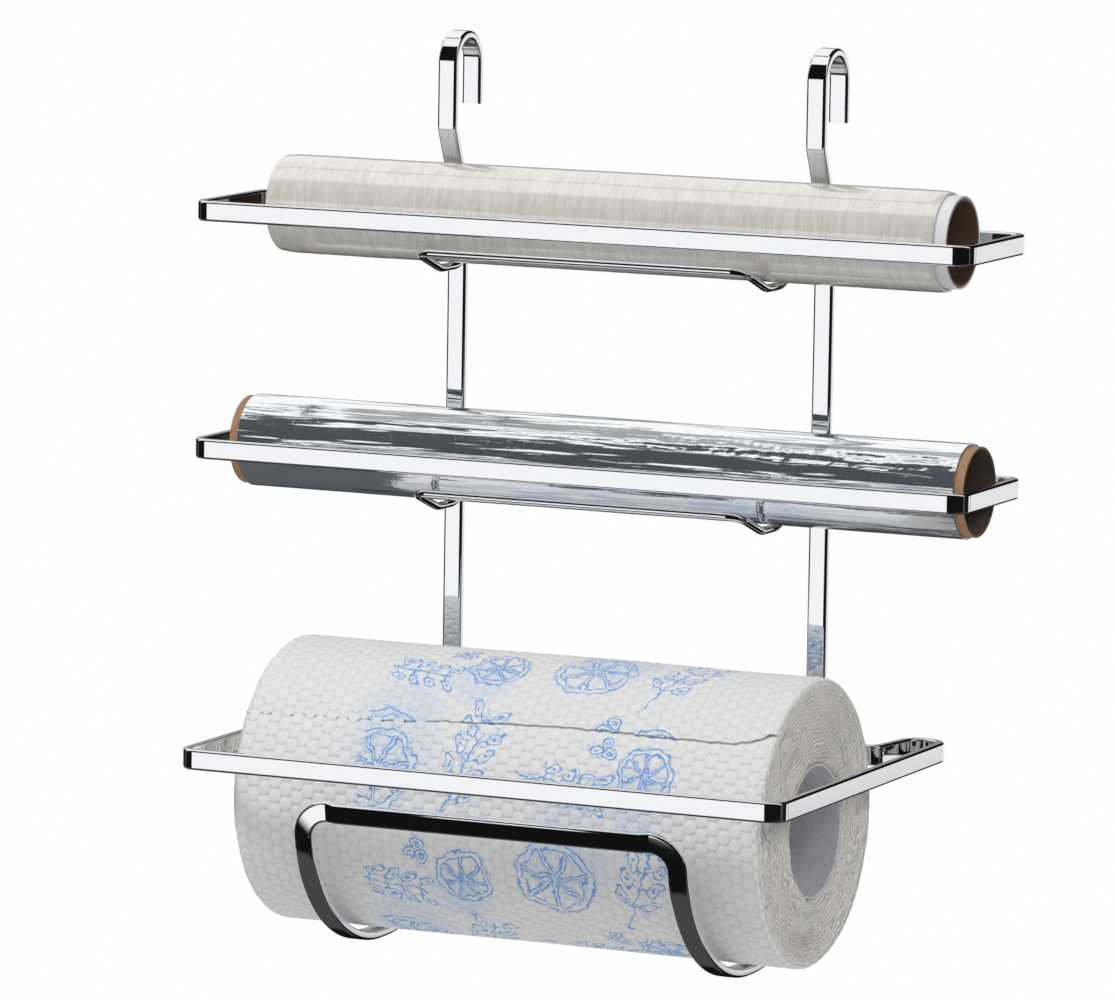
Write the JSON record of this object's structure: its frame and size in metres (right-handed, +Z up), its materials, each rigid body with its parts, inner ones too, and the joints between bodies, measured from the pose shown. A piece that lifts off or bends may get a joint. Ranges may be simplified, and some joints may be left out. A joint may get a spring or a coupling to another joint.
{
  "type": "kitchen roll holder",
  "caption": "Chromed flat-bar rack that hangs from a rail by hooks and carries film, foil and kitchen paper rolls one above the other in open rings.",
  "frame": {"origin": "midway between the hooks, at the underside of their arches, where the top of the rail is", "axes": "+X along the rolls to the picture's right, +Y back to the wall, +Z up"},
  "size_m": [0.33, 0.1715, 0.354],
  "materials": {
    "chrome_bar": "polished",
    "chrome_wire": "polished",
    "film_core_board": "matt cardboard",
    "film_core_liner": "matt white paper",
    "cling_film": "wound clear film",
    "foil_core_board": "matt cardboard",
    "aluminium_foil": "creased bright foil",
    "paper_core_board": "matt cardboard",
    "kitchen_paper": "soft embossed paper"
  },
  "bodies": {
    "holder": {"left_upright": "chrome_bar", "right_upright": "chrome_bar", "film_ring": "chrome_bar", "foil_ring": "chrome_bar", "paper_ring": "chrome_bar", "film_cradle": "chrome_wire", "foil_cradle": "chrome_wire", "paper_cradle": "chrome_bar"},
    "film_roll": {"film_core": "film_core_board", "film_core_sleeve": "film_core_liner", "film_winding": "cling_film"},
    "foil_roll": {"foil_core": "foil_core_board", "foil_winding": "aluminium_foil"},
    "paper_roll": {"paper_core": "paper_core_board", "paper_winding": "kitchen_paper"}
  },
  "joints": [
    {"name": "film_roll_spin", "type": "hinge", "parent": "holder", "child": "film_roll", "pos_m": [0.001, -0.0295, -0.0661], "axis": [1, 0, 0], "continuous": true},
    {"name": "foil_roll_spin", "type": "hinge", "parent": "holder", "child": "foil_roll", "pos_m": [0.0004, -0.0295, -0.1617], "axis": [1, 0, 0], "continuous": true},
    {"name": "paper_roll_spin", "type": "hinge", "parent": "holder", "child": "paper_roll", "pos_m": [-0.0045, -0.065, -0.2896], "axis": [1, 0, 0], "continuous": true}
  ]
}
